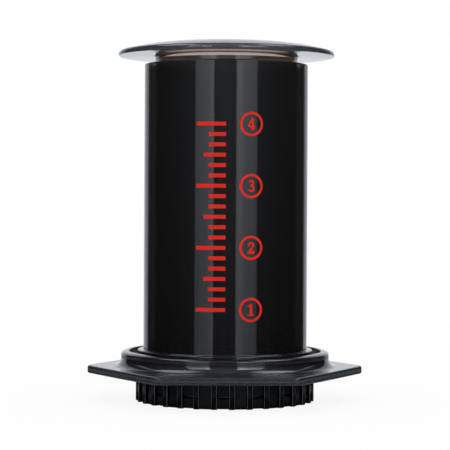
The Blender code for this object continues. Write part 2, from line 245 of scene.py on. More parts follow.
def finish_of(name):
    """A new material with its tree and shader, and coordinates of the piece itself."""
    material = bpy.data.materials.new(name)
    material.use_nodes = True
    tree = material.node_tree
    place = add(tree, 'ShaderNodeTexCoord').outputs['Object']
    return material, tree, tree.nodes['Principled BSDF'], place


def out_from_axis(tree, place):
    """How far a point of the surface lies from the press's upright middle line."""
    level = add(tree, 'ShaderNodeVectorMath', {1: (1, 1, 0)}, {0: place}, operation='MULTIPLY')
    return add(tree, 'ShaderNodeVectorMath', links={0: level.outputs['Vector']},
               operation='LENGTH').outputs['Value']


def wear(piece, material):
    """Give the whole piece one material."""
    piece.data.materials.clear()
    piece.data.materials.append(material)


shoulder = []
for i in range(COLLAR_STEPS + 1):
    part = math.radians(90 * i / COLLAR_STEPS)
    shoulder.append((CREST_R + (COLLAR_R - CREST_R) * math.cos(part),
                     COLLAR_CREST - CREST_FALL * (1 - math.sin(part))))
moat_outer = CREST_R - CREST_INNER
chamber_profile = [
    (COLLAR_R + FOOT_ROUND + HOLD, PLATE_HIGH),
    *corner(COLLAR_R, PLATE_HIGH, FOOT_ROUND, 270, 180, 14),
    *shoulder,
    *corner(moat_outer, COLLAR_CREST, CREST_INNER, 90, 180, 6)[1:],
    *corner(moat_outer, MOAT_LEVEL, MOAT_CORNER, 0, -90, 6),
    *corner(RING_R, MOAT_LEVEL, MOAT_CORNER, 270, 180, 4),
    *corner(RING_R, RING_TOP, RING_ROUND, 0, 90, 8),
    *corner(CHAMBER_R, RING_TOP, RING_CORNER, 270, 180, 3),
    *corner(CHAMBER_R, CHAMBER_TOP, RIM_OUTER, 0, 90, 8),
    *corner(BORE_R, CHAMBER_TOP, RIM_INNER, 90, 180, 6),
    *corner(BORE_R, CHAMBER_FOOT, TUBE_FOOT_EDGE, 180, 270, 4),
    *corner(CHAMBER_R, CHAMBER_FOOT, TUBE_FOOT_EDGE, 270, 360, 4),
    *corner(CHAMBER_R, CAVITY_ROOF, CAVITY_CORNER, 180, 90, 4),
    *corner(CAVITY_R, CAVITY_ROOF, CAVITY_CORNER, 90, 0, 4),
    (CAVITY_R, PLATE_LOW + MOUTH_RISE),
    (MOUTH_R, PLATE_LOW),
    (MOUTH_R + MOUTH_RIM, PLATE_LOW),
]
chamber_tube = turned('chamber_body', chamber_profile)
bpy.ops.mesh.select_all(action='SELECT')
bpy.ops.mesh.remove_doubles(threshold=WELD)

# The plate starts as a hexagon whose corners are rounded and whose sides are bowed out a little.
corner_cut = PLATE_CORNER * math.tan(math.pi / 6)
plate = begin('mug_plate', bpy.ops.mesh.primitive_circle_add, vertices=6, radius=PLATE_REACH * MM,
              fill_type='NGON', location=(0, 0, PLATE_LOW * MM), rotation=(0, 0, math.pi / 6))
bpy.ops.mesh.bevel(offset=corner_cut * MM, segments=14, affect='VERTICES')
choose(plate, 'EDGE', lambda edge: edge.calc_length() > 10 * MM)
bpy.ops.mesh.subdivide(number_cuts=15)
half_side = (PLATE_REACH / 2 - corner_cut) * MM
outline = bmesh.from_edit_mesh(plate.data)
for vert in outline.verts:
    side_angle = (math.floor(math.atan2(vert.co.y, vert.co.x) / (math.pi / 3)) + 0.5) * math.pi / 3
    along = -vert.co.x * math.sin(side_angle) + vert.co.y * math.cos(side_angle)
    bow = max(0, 1 - (along / half_side) ** 2) * PLATE_BOW * MM
    vert.co.x += bow * math.cos(side_angle)
    vert.co.y += bow * math.sin(side_angle)
bmesh.update_edit_mesh(plate.data)
bpy.ops.mesh.select_all(action='SELECT')
bpy.ops.mesh.extrude_region_move(TRANSFORM_OT_translate={'value': (0, 0, (PLATE_HIGH - PLATE_LOW) * MM)})
bpy.ops.mesh.select_all(action='SELECT')
bpy.ops.mesh.normals_make_consistent(inside=False)


def wide_face_at(level):
    """A test for the plate's many-sided top or bottom face."""
    return lambda face: len(face.verts) > 8 and abs(face.calc_center_median().z - level * MM) < 0.1 * MM


for level, rounding in ((PLATE_HIGH, PLATE_TOP_EDGE), (PLATE_LOW, PLATE_FOOT_EDGE)):
    choose(plate, 'FACE', wide_face_at(level))
    bpy.ops.mesh.bevel(offset=rounding * MM, segments=8, affect='EDGES')
    choose(plate, 'FACE', wide_face_at(level))
    bpy.ops.mesh.inset(thickness=HOLD * MM)
    choose(plate, 'FACE', wide_face_at(level))
    bpy.ops.mesh.delete(type='ONLY_FACE')
bpy.ops.object.mode_set(mode='OBJECT')
chamber_tube.select_set(True)
bpy.context.view_layer.objects.active = chamber_tube
bpy.ops.object.join()
bpy.ops.object.mode_set(mode='EDIT')
for level in (PLATE_HIGH, PLATE_LOW):
    choose(chamber_tube, 'EDGE', lambda edge: edge.is_boundary
           and all(abs(vert.co.z - level * MM) < 0.01 * MM for vert in edge.verts))
    bpy.ops.mesh.bridge_edge_loops()
close_up(chamber_tube)
lugs = sector('chamber_lugs', LUG_R, CAVITY_R + LUG_ROOT, LUG_LOW, LUG_HIGH, LUG_START, LUG_SWEEP, 12)
around(LUGS)
combine(chamber_tube, lugs, 'UNION')
stops = sector('lug_stops', LUG_R, CAVITY_R + LUG_ROOT, STOP_LOW, CAVITY_ROOF + LUG_ROOT,
               STOP_START, STOP_SWEEP, 3)
around(LUGS)
combine(chamber_tube, stops, 'UNION')
bpy.ops.object.shade_smooth_by_angle(angle=SMOOTH_BELOW)

# Smoke copolyester, injection moulded: the tube from a polished tool is clear, nearly black and sharp in
# its reflections, and the thicker collar and plate are satin, with a blue-grey haze inside. The polish
# varies a little in patches of about 7 mm.
smoke, tree, shader, place = finish_of('smoke_copolyester_polished')
reach = out_from_axis(tree, place)
satin = add(tree, 'ShaderNodeMapRange', {'From Min': 33.2 * MM, 'From Max': 36.0 * MM}, {'Value': reach},
            interpolation_type='SMOOTHSTEP').outputs['Result']
thick = add(tree, 'ShaderNodeMapRange', {'From Min': 41.9 * MM, 'From Max': 43.6 * MM}, {'Value': reach},
            interpolation_type='SMOOTHSTEP').outputs['Result']
haze = add(tree, 'ShaderNodeTexNoise', {'Scale': 1 / (7 * MM), 'Detail': 4, 'Roughness': 0.6},
           {'Vector': place})
polish = add(tree, 'ShaderNodeMapRange', {'To Min': 0.015, 'To Max': 0.045}, {'Value': haze.outputs['Fac']})
dull = add(tree, 'ShaderNodeMapRange', {'To Min': 0.06, 'To Max': 0.11}, {'Value': haze.outputs['Fac']})
rough = add(tree, 'ShaderNodeMix', links={0: satin, 2: polish.outputs['Result'], 3: dull.outputs['Result']})
clear = add(tree, 'ShaderNodeMapRange', {'To Min': 0.985, 'To Max': 0.93}, {'Value': thick})
body = add(tree, 'ShaderNodeMix', {6: linear('#88878a'), 7: linear('#8994a8')}, {0: thick},
           data_type='RGBA')
tint = add(tree, 'ShaderNodeVolumeAbsorption', {'Color': (0.30, 0.24, 0.22, 1), 'Density': 420})
tree.links.new(rough.outputs[0], shader.inputs['Roughness'])
tree.links.new(clear.outputs['Result'], shader.inputs['Transmission Weight'])
tree.links.new(body.outputs[2], shader.inputs['Base Color'])
tree.links.new(tint.outputs['Volume'], tree.nodes['Material Output'].inputs['Volume'])
shader.inputs['IOR'].default_value = 1.57
shader.inputs['Specular Tint'].default_value = linear('#f4f9ff')
wear(chamber_tube, smoke)
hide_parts('chamber')
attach(chamber_tube, 'chamber')


# Plunger: a second smoke-grey moulding, open at the top, with a domed hand flange and a hooked head
# that the seal is pushed over. Its inside is left satin by the core that shaped it.
PLUNGER_R = 28.6
PLUNGER_BORE = 26.4
PLUNGER_FLOOR = 2.2
INSIDE_ROUND = 0.8
FLANGE_R = 43.4
FLANGE_LOW = 137.8
FLANGE_HIGH = 142.6
DOME_EDGE = 1.2
DOME_DROP = 2.65
DOME_STEPS = 20
NOSE_ABOVE = 1.7
NOSE_BELOW = 0.6
NECK_ROUND = 1.35
LIP_ROUND = 2.0
HEAD_R = 25.0
HEAD_ROUND = 0.6
NECK_R = 22.0
NECK_BORE = 19.8
HEAD_LOW = 8.5
HEAD_HIGH = 14.5
SHOULDER = 19.2
SHOULDER_ROUND = 0.4
dome_in = PLUNGER_BORE + LIP_ROUND
dome_out = FLANGE_R - DOME_EDGE
dome = []
for i in range(DOME_STEPS + 1):
    share = i / DOME_STEPS
    dome.append((dome_in + (dome_out - dome_in) * share,
                 FLANGE_HIGH - DOME_DROP * (0.5 * share + 0.5 * share * share)))
plunger_profile = [
    (0, HEAD_LOW + PLUNGER_FLOOR),
    *corner(NECK_BORE, HEAD_LOW + PLUNGER_FLOOR, INSIDE_ROUND, 270, 360, 5),
    *corner(NECK_BORE, SHOULDER + PLUNGER_FLOOR, HEAD_ROUND, 180, 90, 5),
    *corner(PLUNGER_BORE, SHOULDER + PLUNGER_FLOOR, INSIDE_ROUND, 270, 360, 5),
    *corner(PLUNGER_BORE, FLANGE_HIGH, LIP_ROUND, 180, 90, 10)[:-1],
    *dome[:-1],
    *bend((FLANGE_R - NOSE_ABOVE, FLANGE_LOW + NOSE_BELOW), NOSE_ABOVE, 72, 0, 12),
    *corner(FLANGE_R, FLANGE_LOW, NOSE_BELOW, 0, -90, 8)[1:],
    *corner(PLUNGER_R, FLANGE_LOW, NECK_ROUND, 90, 180, 10),
    *corner(PLUNGER_R, SHOULDER, SHOULDER_ROUND, 360, 270, 4),
    (NECK_R, SHOULDER),
    (NECK_R, HEAD_HIGH),
    *corner(HEAD_R, HEAD_HIGH, HEAD_ROUND, 90, 0, 4),
    *corner(HEAD_R, HEAD_LOW, HEAD_ROUND, 0, -90, 4),
    (0, HEAD_LOW),
]
plunger_body = turned('plunger_body', plunger_profile)
close_up(plunger_body)

# The same copolyester, a little less polished: its tube is as dark as the chamber's. The thick top is
# painted lighter as painted light: warm in the neck for light shining through it, turning to a painted
# blue-grey reflection towards the flange's rim.
satin_smoke, tree, shader, place = finish_of('smoke_copolyester_satin')
split = add(tree, 'ShaderNodeSeparateXYZ', links={0: place})
thick = add(tree, 'ShaderNodeMapRange', {'From Min': 133.4 * MM, 'From Max': 134.6 * MM},
            {'Value': split.outputs['Z']}, interpolation_type='SMOOTHSTEP').outputs['Result']
rim = add(tree, 'ShaderNodeMapRange', {'From Min': 32 * MM, 'From Max': 39 * MM},
          {'Value': out_from_axis(tree, place)}, interpolation_type='SMOOTHSTEP')
haze = add(tree, 'ShaderNodeTexNoise', {'Scale': 1 / (6 * MM), 'Detail': 4, 'Roughness': 0.6},
           {'Vector': place})
polish = add(tree, 'ShaderNodeMapRange', {'To Min': 0.025, 'To Max': 0.055}, {'Value': haze.outputs['Fac']})
clear = add(tree, 'ShaderNodeMapRange', {'To Min': 0.985, 'To Max': 0.94}, {'Value': thick})
# Painted light: the top's lighter tone, warm at the neck for light seen through it and blue-grey at the rim
# for reflected light.
painted_top_light_tone = add(tree, 'ShaderNodeMix', {6: linear('#dcd3c8'), 7: linear('#bfcde2')},
               {0: rim.outputs['Result']}, data_type='RGBA')
body = add(tree, 'ShaderNodeMix', {6: linear('#6c6b6e')}, {0: thick, 7: painted_top_light_tone.outputs[2]},
           data_type='RGBA')
tint = add(tree, 'ShaderNodeVolumeAbsorption', {'Color': (0.42, 0.24, 0.14, 1), 'Density': 220})
tree.links.new(polish.outputs['Result'], shader.inputs['Roughness'])
tree.links.new(clear.outputs['Result'], shader.inputs['Transmission Weight'])
tree.links.new(body.outputs[2], shader.inputs['Base Color'])
tree.links.new(tint.outputs['Volume'], tree.nodes['Material Output'].inputs['Volume'])
shader.inputs['IOR'].default_value = 1.57
shader.inputs['Specular Tint'].default_value = linear('#e2eeff')
wear(plunger_body, satin_smoke)
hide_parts('plunger')
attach(plunger_body, 'plunger')


# Plunger seal: a black thermoplastic-rubber cup, stretched over the plunger's hooked head. Two bands
# run round it where it wipes the chamber's wall, and a shallow cone under it pushes the water down.
SEAL_R = 30.2
SEAL_LOW = 4.2
SEAL_HIGH = 18.9
SEAL_WAIST = 28.8
SEAL_PLAY = 0.3
SEAL_RIM = 0.5
BAND_ROUND = 0.8
UPPER_BAND = 15.6
LOWER_BAND = 8.4
WAIST_HIGH = 12.4
WAIST_LOW = 10.6
LIP_EDGE = 0.6
LIP_LEVEL = 1.3
CONE_FLAT = 8.0
CONE_RISE = 0.05
seal_profile = [
    (0, HEAD_LOW - SEAL_PLAY),
    (HEAD_R + SEAL_PLAY, HEAD_LOW - SEAL_PLAY),
    (HEAD_R + SEAL_PLAY, HEAD_HIGH + SEAL_PLAY),
    (NECK_R + SEAL_PLAY, HEAD_HIGH + SEAL_PLAY),
    (NECK_R + SEAL_PLAY, SEAL_HIGH),
    *corner(SEAL_WAIST, SEAL_HIGH, SEAL_RIM, 90, 0, 4),
    *bend((SEAL_R - BAND_ROUND, UPPER_BAND), BAND_ROUND, 60, -60, 8),
    (SEAL_WAIST, WAIST_HIGH),
    (SEAL_WAIST, WAIST_LOW),
    *bend((SEAL_R - BAND_ROUND, LOWER_BAND), BAND_ROUND, 60, 0, 4),
    *bend((SEAL_R - LIP_EDGE, SEAL_LOW + LIP_LEVEL), LIP_EDGE, 0, -80, 6),
    (CONE_FLAT, SEAL_LOW + CONE_RISE),
    (0, SEAL_LOW),
]
seal_body = turned('seal_body', seal_profile, 160)
close_up(seal_body)

# Moulded thermoplastic rubber: dull black with a fine even grain, drawn at about half a millimetre,
# coarser than the real one, so that it shows.
rubber, tree, shader, place = finish_of('black_rubber_moulded')
grain = add(tree, 'ShaderNodeTexNoise', {'Scale': 1 / (0.55 * MM), 'Detail': 3}, {'Vector': place})
grain_bump = add(tree, 'ShaderNodeBump', {'Strength': 0.25, 'Distance': 0.05 * MM},
                 {'Height': grain.outputs['Fac']})
tree.links.new(grain_bump.outputs['Normal'], shader.inputs['Normal'])
shader.inputs['Base Color'].default_value = linear('#161616')
shader.inputs['Roughness'].default_value = 0.6
wear(seal_body, rubber)
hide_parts('plunger_seal')
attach(seal_body, 'plunger')


# Filter cap: black polypropylene, moulded with a perforated floor, 32 grip ribs round its skirt and
# four lugs that turn in under the chamber's. Every second groove is open at its foot and has a slot.
CAP_BORE = 33.6
SHELL_R = 34.85
SHELL_ROUND = 0.2
CAP_CORNER = 0.4
CAP_TOP = 15.2
SKIRT_TOP = 10.4
CAP_FLOOR_LOW = 1.2
CAP_FLOOR_HIGH = 3.0
RECESS_OUTER = 2.1
RECESS_INNER = 2.7
RIBS = 32
RIB_R = 35.75
RIB_DEPTH = 1.6
RIB_WIDTH = 2.34
RIB_EDGE = 0.35
RIB_FOOT_EDGE = 0.12
RIB_TURN = -2.65
PITCH = 360 / RIBS
FOOT = 0.2
FOOT_OUTER = 0.4
FOOT_INNER = 1.33
FOOT_LAP = 0.45
CAP_LUG_R = 39.2
CAP_LUG_ROOT = 0.6
CAP_LUG_LOW = 13.2
CAP_LUG_STEP = 0.05
CAP_LUG_START = -102
CAP_LUG_SWEEP = 24
SLOT_LOW = 3.85
SLOT_HIGH = 5.05
SLOT_END_GAP = 0.12
SLOT_PAST_BORE = 0.3
SLOT_PAST_SHELL = 0.4
HOLE_R = 1.5
HOLE_PITCH = 6.8
HOLE_RINGS = 5
HOLE_CUT = 6
HOLE_CENTRE = 2
cap_profile = [
    (0, CAP_FLOOR_HIGH),
    *corner(CAP_BORE, CAP_FLOOR_HIGH, CAP_CORNER, 270, 360, 4),
    *corner(CAP_BORE, CAP_TOP, CAP_CORNER, 180, 90, 4),
    *corner(SHELL_R, CAP_TOP, SHELL_ROUND, 90, 0, 3),
    *corner(SHELL_R, FOOT, SHELL_ROUND, 0, -90, 4),
    (SHELL_R - RECESS_OUTER, FOOT),
    (SHELL_R - RECESS_INNER, CAP_FLOOR_LOW),
    (0, CAP_FLOOR_LOW),
]
cap_body = turned('cap_body', cap_profile, 192)
close_up(cap_body)
rib = begin('rib', bpy.ops.mesh.primitive_cube_add, size=MM)
bpy.ops.transform.resize(value=(RIB_DEPTH, RIB_WIDTH, SKIRT_TOP))
bpy.ops.transform.translate(value=((RIB_R - RIB_DEPTH / 2) * MM, 0, SKIRT_TOP / 2 * MM))
choose(rib, 'EDGE', lambda edge: all(vert.co.x > (RIB_R - 0.1) * MM for vert in edge.verts)
       and abs(edge.verts[0].co.z - edge.verts[1].co.z) > MM)
bpy.ops.mesh.bevel(offset=RIB_EDGE * MM, segments=5, affect='EDGES')
choose(rib, 'EDGE', lambda edge: all(vert.co.z < 0.1 * MM for vert in edge.verts)
       and all(vert.co.x > (RIB_R - 0.5) * MM for vert in edge.verts))
bpy.ops.mesh.bevel(offset=RIB_FOOT_EDGE * MM, segments=2, affect='EDGES')
turn_about_z(rib, -90 + RIB_TURN + PITCH / 2)
around(RIBS)
combine(cap_body, rib, 'UNION')
rib_half = math.degrees(RIB_WIDTH / 4 / RIB_R)
feet = sector('feet', SHELL_R - FOOT_INNER, SHELL_R - FOOT_OUTER, 0, FOOT + FOOT_LAP,
              -90 + RIB_TURN + PITCH / 2 - rib_half, PITCH + 2 * rib_half, 8)
around(RIBS // 2)
combine(cap_body, feet, 'UNION')
cap_lugs = sector('cap_lugs', SHELL_R - CAP_LUG_ROOT, CAP_LUG_R, CAP_LUG_LOW, CAP_TOP - CAP_LUG_STEP,
                  CAP_LUG_START, CAP_LUG_SWEEP, 12)
around(LUGS)
combine(cap_body, cap_lugs, 'UNION')
slot_half = PITCH / 2 - math.degrees((RIB_WIDTH / 2 + SLOT_END_GAP) / RIB_R)
slots = sector('slots', CAP_BORE - SLOT_PAST_BORE, SHELL_R + SLOT_PAST_SHELL, SLOT_LOW, SLOT_HIGH,
               -90 + RIB_TURN - slot_half, 2 * slot_half, 6)
around(RIBS // 2)
combine(cap_body, slots, 'DIFFERENCE')
for ring in range(HOLE_RINGS):
    hole = begin('drain_holes', bpy.ops.mesh.primitive_cylinder_add, vertices=24, radius=HOLE_R * MM,
                 depth=HOLE_CUT * MM, location=(HOLE_PITCH * ring * MM, 0, HOLE_CENTRE * MM))
    around(6 * ring if ring else 1)
    combine(cap_body, hole, 'DIFFERENCE')
bpy.ops.object.shade_smooth_by_angle(angle=SMOOTH_BELOW)

# Polypropylene, injection moulded in a lightly sparked tool: deep black, satin, with a fine grain, drawn
# at 0.4 mm, coarser than the real one, so that it shows. The ribs' outer edges carry a painted highlight:
# pale grey thin lines that stand in for light glinting on their rounded edges.
RIB_GLINT_INSET = 0.14
RIB_GLINT_HALF = 0.11
RIB_GLINT_DEPTH = 0.4
black_pp, tree, shader, place = finish_of('black_polypropylene_moulded')
grain = add(tree, 'ShaderNodeTexNoise', {'Scale': 1 / (0.4 * MM), 'Detail': 2}, {'Vector': place})
grain_bump = add(tree, 'ShaderNodeBump', {'Strength': 0.2, 'Distance': 0.03 * MM},
                 {'Height': grain.outputs['Fac']})
split = add(tree, 'ShaderNodeSeparateXYZ', links={0: place})
turn = add(tree, 'ShaderNodeMath', links={0: split.outputs['Y'], 1: split.outputs['X']},
           operation='ARCTAN2')
turn = add(tree, 'ShaderNodeMath', {1: math.radians(90 - RIB_TURN - PITCH / 2)}, {0: turn.outputs[0]},
           operation='ADD')
from_rib = add(tree, 'ShaderNodeMath', {1: math.radians(PITCH / 2)}, {0: turn.outputs[0]},
               operation='PINGPONG')
# Painted highlight: a pale line along each rib's outer edges stands in for light glinting on their
# roundings, its strength varied in patches.
on_edge = add(tree, 'ShaderNodeMath', {1: (RIB_WIDTH / 2 - RIB_GLINT_INSET) / RIB_R, 2: RIB_GLINT_HALF / RIB_R},
              {0: from_rib.outputs[0]}, operation='COMPARE')
outside = add(tree, 'ShaderNodeMath', {1: (RIB_R - RIB_GLINT_DEPTH) * MM}, {0: out_from_axis(tree, place)},
              operation='GREATER_THAN')
rib_glint_patches = add(tree, 'ShaderNodeTexNoise', {'Scale': 1 / (4 * MM), 'Detail': 3}, {'Vector': place})
painted_rib_glint = add(tree, 'ShaderNodeMapRange', {'From Min': 0.3, 'From Max': 0.6, 'To Min': 0.45},
             {'Value': rib_glint_patches.outputs['Fac']})
painted_rib_glint = add(tree, 'ShaderNodeMath', links={0: painted_rib_glint.outputs['Result'], 1: on_edge.outputs[0]},
             operation='MULTIPLY')
painted_rib_glint = add(tree, 'ShaderNodeMath', links={0: painted_rib_glint.outputs[0], 1: outside.outputs[0]},
             operation='MULTIPLY')
# The pale grey mixed into the black here is the painted rib-edge highlight.
tone = add(tree, 'ShaderNodeMix', {6: linear('#060607'), 7: linear('#5c5e62')}, {0: painted_rib_glint.outputs[0]},
           data_type='RGBA')
tree.links.new(grain_bump.outputs['Normal'], shader.inputs['Normal'])
tree.links.new(tone.outputs[2], shader.inputs['Base Color'])
shader.inputs['Roughness'].default_value = 0.22
shader.inputs['IOR'].default_value = 1.49
shader.inputs['Specular IOR Level'].default_value = 0.22
wear(cap_body, black_pp)
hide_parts('filter_cap')
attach(cap_body, 'filter_cap')


# Paper filter: a disc cut from bleached filter paper, held down on the cap's floor by the tube. Its
# fibres show as soft cream-white flecks about a millimetre long.
PAPER_R = 32.0
PAPER_LOW = 3.3
PAPER_HIGH = 3.6
PAPER_EDGE = 0.1
paper_profile = [
    (0, PAPER_HIGH),
    (PAPER_R - PAPER_EDGE, PAPER_HIGH),
    (PAPER_R, PAPER_HIGH - PAPER_EDGE),
    (PAPER_R, PAPER_LOW + PAPER_EDGE),
    (PAPER_R - PAPER_EDGE, PAPER_LOW),
    (0, PAPER_LOW),
]
paper_disc = turned('paper_disc', paper_profile, 128)
close_up(paper_disc)
paper, tree, shader, place = finish_of('bleached_filter_paper')
fibres = add(tree, 'ShaderNodeTexNoise', {'Scale': 1 / (1.1 * MM), 'Detail': 6, 'Distortion': 1.5},
             {'Vector': place})
shade = add(tree, 'ShaderNodeValToRGB', links={'Fac': fibres.outputs['Fac']})
shade.color_ramp.elements[0].color = linear('#dcd6c8')
shade.color_ramp.elements[1].color = linear('#f6f3ea')
fibre_bump = add(tree, 'ShaderNodeBump', {'Strength': 0.4, 'Distance': 0.05 * MM},
                 {'Height': fibres.outputs['Fac']})
tree.links.new(shade.outputs['Color'], shader.inputs['Base Color'])
tree.links.new(fibre_bump.outputs['Normal'], shader.inputs['Normal'])
shader.inputs['Roughness'].default_value = 0.9
wear(paper_disc, paper)
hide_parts('paper_filter')
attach(paper_disc, 'filter_cap')


# Level marks: four circled numbers, screen printed in red on the chamber's outer face. The ink is a
# thin skin that follows the tube and is keyed a little into it.
INK_PROUD = 0.04
INK_SUNK = 0.02
MARK_ANGLE = 15.8
MARK_LEVELS = (38.1, 62.0, 85.8, 109.7)
RING_OUTER = 4.7
RING_WIDTH = 0.95
FIGURE_HEIGHT = 4.6
FIGURES = {
    1: [(-0.27, 0), (0.29, 0), (0.29, 0.12), (0.13, 0.14), (0.13, 1), (-0.01, 1), (-0.09, 0.9),
        (-0.27, 0.86), (-0.27, 0.75), (-0.08, 0.75), (-0.08, 0.14), (-0.27, 0.12)],
    2: [(-0.29, 0), (0.28, 0), (0.31, 0.3), (0.22, 0.3), (0.19, 0.2), (-0.02, 0.2),
        *bend((0, 0.715), 0.285, -38, 195, 16), (-0.12, 0.61), *bend((0, 0.735), 0.11, 200, -30, 10),
        (0.03, 0.53), (-0.29, 0.15)],
    3: [*bend((-0.01, 0.29), 0.29, 200, 410, 14), (0.12, 0.53),
        *bend((-0.01, 0.745), 0.255, -42, 168, 14), (-0.12, 0.79),
        *bend((-0.01, 0.745), 0.1, 150, -80, 8), (-0.09, 0.615), (-0.09, 0.49),
        *bend((-0.01, 0.29), 0.13, 85, -150, 8)],
    4: [(-0.1, 0), (0.27, 0), (0.27, 0.1), (0.18, 0.12), (0.18, 0.24), (0.31, 0.24), (0.31, 0.38),
        (0.18, 0.38), (0.18, 1), (0.03, 1), (-0.32, 0.4), (-0.32, 0.24), (0, 0.24), (0, 0.12),
        (-0.1, 0.1)],
}
FOUR_EYE = [(0.01, 0.38), (0.01, 0.72), (-0.18, 0.38)]
EYE_CUT = 2


def printed(piece, angle, level):
    """Give a flat mark its ink's depth and roll it onto the tube, at an angle from the front."""
    bpy.ops.mesh.select_all(action='SELECT')
    bpy.ops.transform.translate(value=(0, INK_SUNK * MM, 0))
    bpy.ops.mesh.extrude_region_move(TRANSFORM_OT_translate={'value': (0, -(INK_PROUD + INK_SUNK) * MM, 0)})
    mesh = bmesh.from_edit_mesh(piece.data)
    for vert in mesh.verts:
        turn = math.radians(angle) + vert.co.x / (CHAMBER_R * MM)
        reach = CHAMBER_R * MM - vert.co.y
        vert.co = (reach * math.sin(turn), -reach * math.cos(turn), vert.co.z + level * MM)
    bmesh.update_edit_mesh(piece.data)
    close_up(piece)


def filled(name, points):
    """Fill a drawn outline, given in parts of a figure's height, round the middle of the figure."""
    piece = drawn(name, [(x * FIGURE_HEIGHT, (z - 0.5) * FIGURE_HEIGHT) for x, z in points])
    bpy.ops.mesh.edge_face_add()
    return piece


# Screen printing ink, pulled through a fine mesh: flat opaque red, nearly matt, a little uneven in
# patches of about a millimetre.
red_ink, tree, shader, place = finish_of('red_screen_ink')
patches = add(tree, 'ShaderNodeTexNoise', {'Scale': 1 / (1.1 * MM), 'Detail': 3}, {'Vector': place})
ink_shade = add(tree, 'ShaderNodeValToRGB', links={'Fac': patches.outputs['Fac']})
ink_shade.color_ramp.elements[0].color = linear('#c81e10')
ink_shade.color_ramp.elements[1].color = linear('#da2818')
tree.links.new(ink_shade.outputs['Color'], shader.inputs['Base Color'])
shader.inputs['Roughness'].default_value = 0.45
shader.inputs['Specular IOR Level'].default_value = 0.15
for number, level in enumerate(MARK_LEVELS, start=1):
    ring = begin('mark_ring_%d' % number, bpy.ops.mesh.primitive_circle_add, vertices=96,
                 radius=RING_OUTER * MM, fill_type='NGON', rotation=(math.pi / 2, 0, 0))
    bpy.ops.mesh.inset(thickness=RING_WIDTH * MM)
    bpy.ops.mesh.delete(type='ONLY_FACE')
    printed(ring, MARK_ANGLE, level)
    figure = filled('mark_figure_%d' % number, FIGURES[number])
    printed(figure, MARK_ANGLE, level)
    if number == 4:
        eye_hole = filled('four_eye', FOUR_EYE)
        bpy.ops.mesh.extrude_region_move(TRANSFORM_OT_translate={'value': (0, 2 * EYE_CUT * MM, 0)})
        bpy.ops.mesh.select_all(action='SELECT')
        bpy.ops.transform.translate(value=(0, -(CHAMBER_R + EYE_CUT) * MM, level * MM))
        turn_about_z(eye_hole, MARK_ANGLE)
        bpy.ops.mesh.normals_make_consistent(inside=False)
        combine(figure, eye_hole, 'DIFFERENCE')
    for mark in (ring, figure):
        wear(mark, red_ink)
        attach(mark, 'chamber')


# Filling scale: a plain graduated line beside the numbers, in the same red ink. Its long strokes are
# level with the numbers and five shorter ones divide each step, the middle one a little longer.
SCALE_ANGLE = -1.6
PER_NUMBER = 6
STROKES = 3 * PER_NUMBER + 1
SCALE_STEP = (MARK_LEVELS[-1] - MARK_LEVELS[0]) / (STROKES - 1)
LONG_STROKE = 11.6
MIDDLE_STROKE = 8.6
SHORT_STROKE = 6.6
STROKE_HEIGHT = 1.5
for stroke in range(STROKES):
    length = SHORT_STROKE
    if stroke % PER_NUMBER == 0:
        length = LONG_STROKE
    elif stroke % PER_NUMBER == PER_NUMBER // 2:
        length = MIDDLE_STROKE
    tick = begin('scale_stroke_%d' % (stroke + 1), bpy.ops.mesh.primitive_grid_add, x_subdivisions=12,
                 y_subdivisions=1, size=MM, rotation=(math.pi / 2, 0, 0))
    bpy.ops.transform.resize(value=(length, 1, STROKE_HEIGHT))
    bpy.ops.transform.translate(value=(-length / 2 * MM, 0, 0))
    printed(tick, SCALE_ANGLE, MARK_LEVELS[0] + stroke * SCALE_STEP)
    wear(tick, red_ink)
    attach(tick, 'chamber')


# Floor: a white table in even light, which keeps the press's soft shadow. In mirrors and through clear
# plastic it glows softly in front, is dim close to the press and ends about 20 cm from its middle line.
floor = begin('table', bpy.ops.mesh.primitive_plane_add, size=8)
bpy.ops.object.mode_set(mode='OBJECT')
table, tree, shader, place = finish_of('white_table')
tree.nodes.remove(shader)
path = add(tree, 'ShaderNodeLightPath')
reach = add(tree, 'ShaderNodeVectorMath', links={0: place}, operation='LENGTH').outputs['Value']
beyond = add(tree, 'ShaderNodeMapRange', {'From Min': 0.18, 'From Max': 0.25}, {'Value': reach},
             interpolation_type='SMOOTHSTEP')
toward = add(tree, 'ShaderNodeVectorMath', {1: (0, -1, 0)}, {0: place}, operation='DOT_PRODUCT')
toward = add(tree, 'ShaderNodeMath', links={0: toward.outputs['Value'], 1: reach}, operation='DIVIDE')
front = add(tree, 'ShaderNodeMapRange', {'From Min': 0.0, 'From Max': 0.9, 'To Min': 0.28, 'To Max': 0.85},
            {'Value': toward.outputs[0]})
shaded = add(tree, 'ShaderNodeMapRange', {'From Min': 0.10, 'From Max': 0.16, 'To Min': 0.12},
             {'Value': reach}, interpolation_type='SMOOTHSTEP')
front = add(tree, 'ShaderNodeMath', links={0: front.outputs['Result'], 1: shaded.outputs['Result']},
            operation='MULTIPLY')

